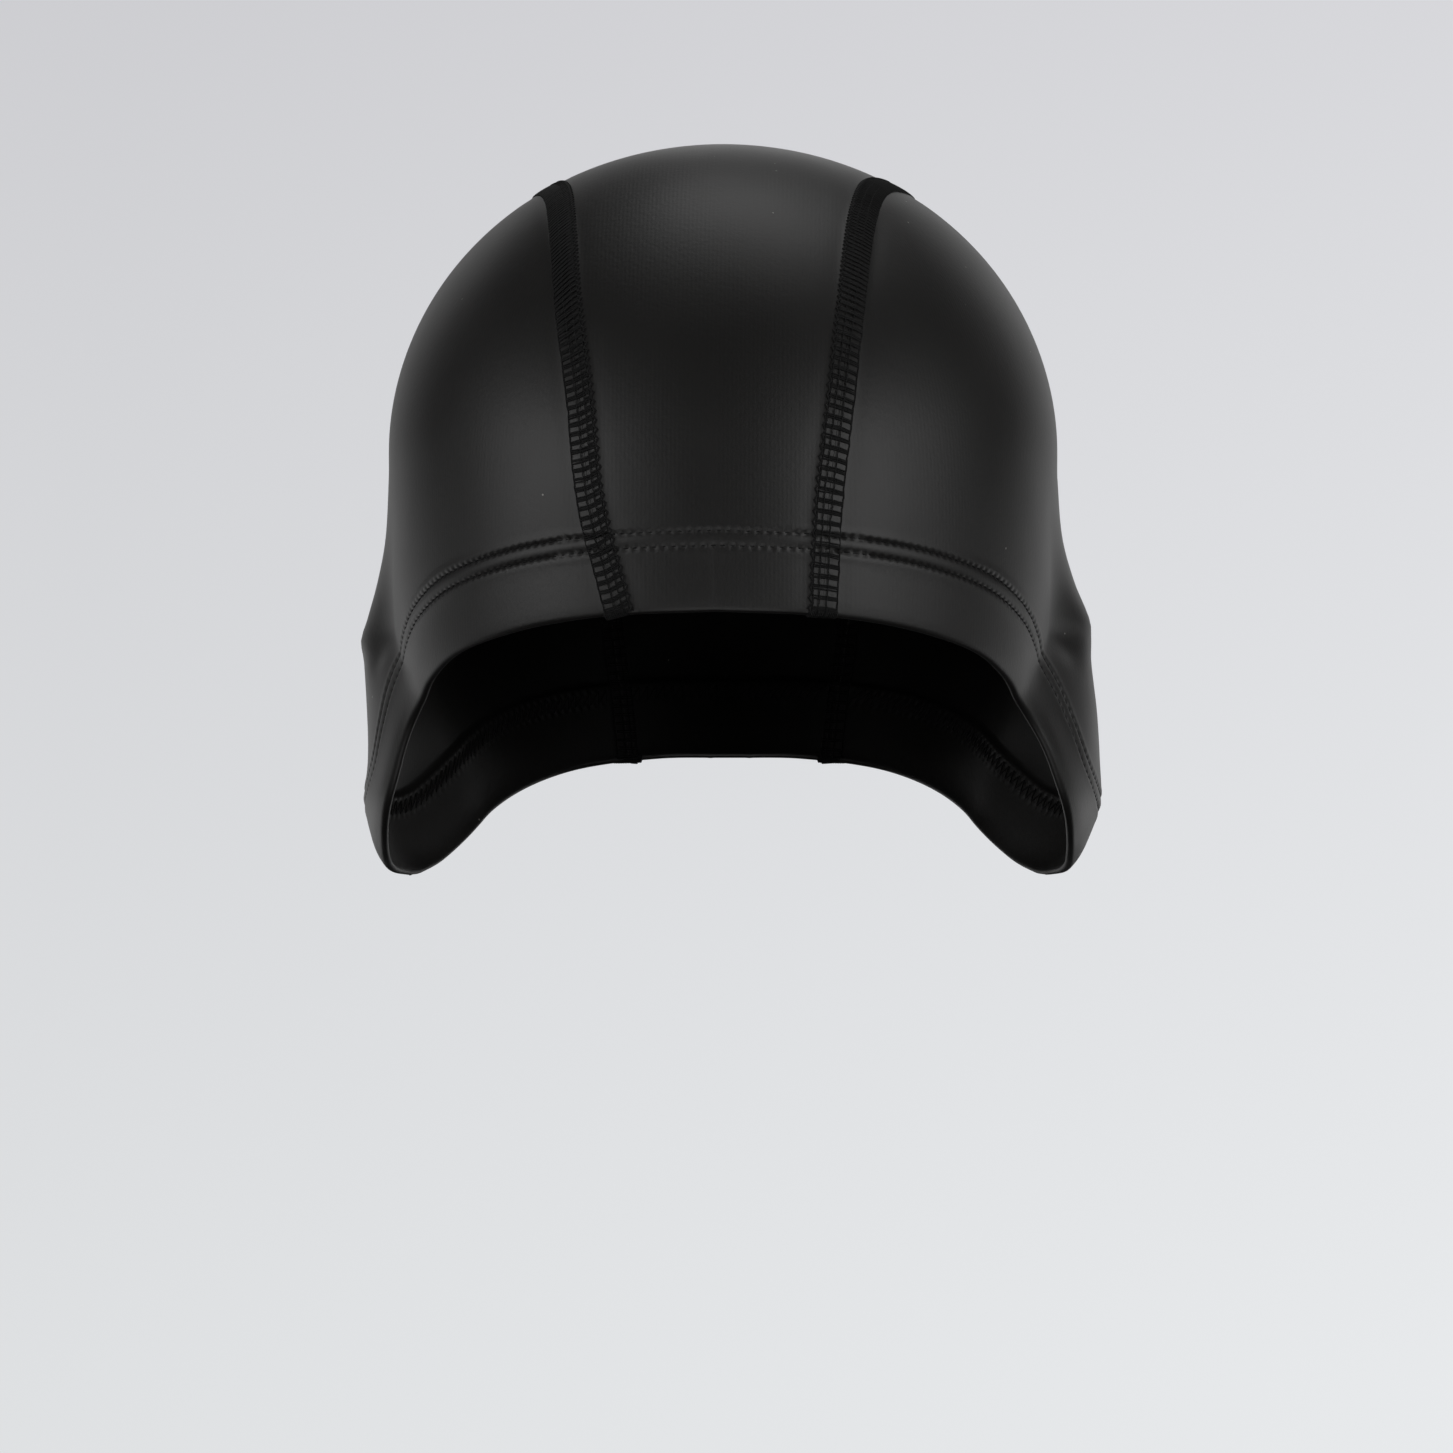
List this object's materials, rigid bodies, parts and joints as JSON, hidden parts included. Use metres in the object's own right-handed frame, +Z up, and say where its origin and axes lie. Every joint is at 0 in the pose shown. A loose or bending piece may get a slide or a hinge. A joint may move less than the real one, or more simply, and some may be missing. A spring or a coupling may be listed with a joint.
{
  "type": "swim cap",
  "caption": "Close-fitting three-panel swim cap of coated stretch knit, covering the ears, with flatlock seams and a twin-stitched hem.",
  "frame": {"origin": "inside of the crown's top, where the crown of the wearer's head touches", "axes": "+Z up along the wearer's head, the forehead faces -Y, +X towards the right of someone who looks at the forehead"},
  "size_m": [0.1657, 0.1956, 0.1643],
  "materials": {
    "coated_knit": "matte black polyurethane-coated stretch knit with a soft sheen",
    "seam_thread": "matte black textured polyester thread"
  },
  "bodies": {
    "root": {"centre_panel": "coated_knit", "left_side_panel": "coated_knit", "right_side_panel": "coated_knit", "left_flatlock_seam": "seam_thread", "right_flatlock_seam": "seam_thread"}
  },
  "joints": []
}
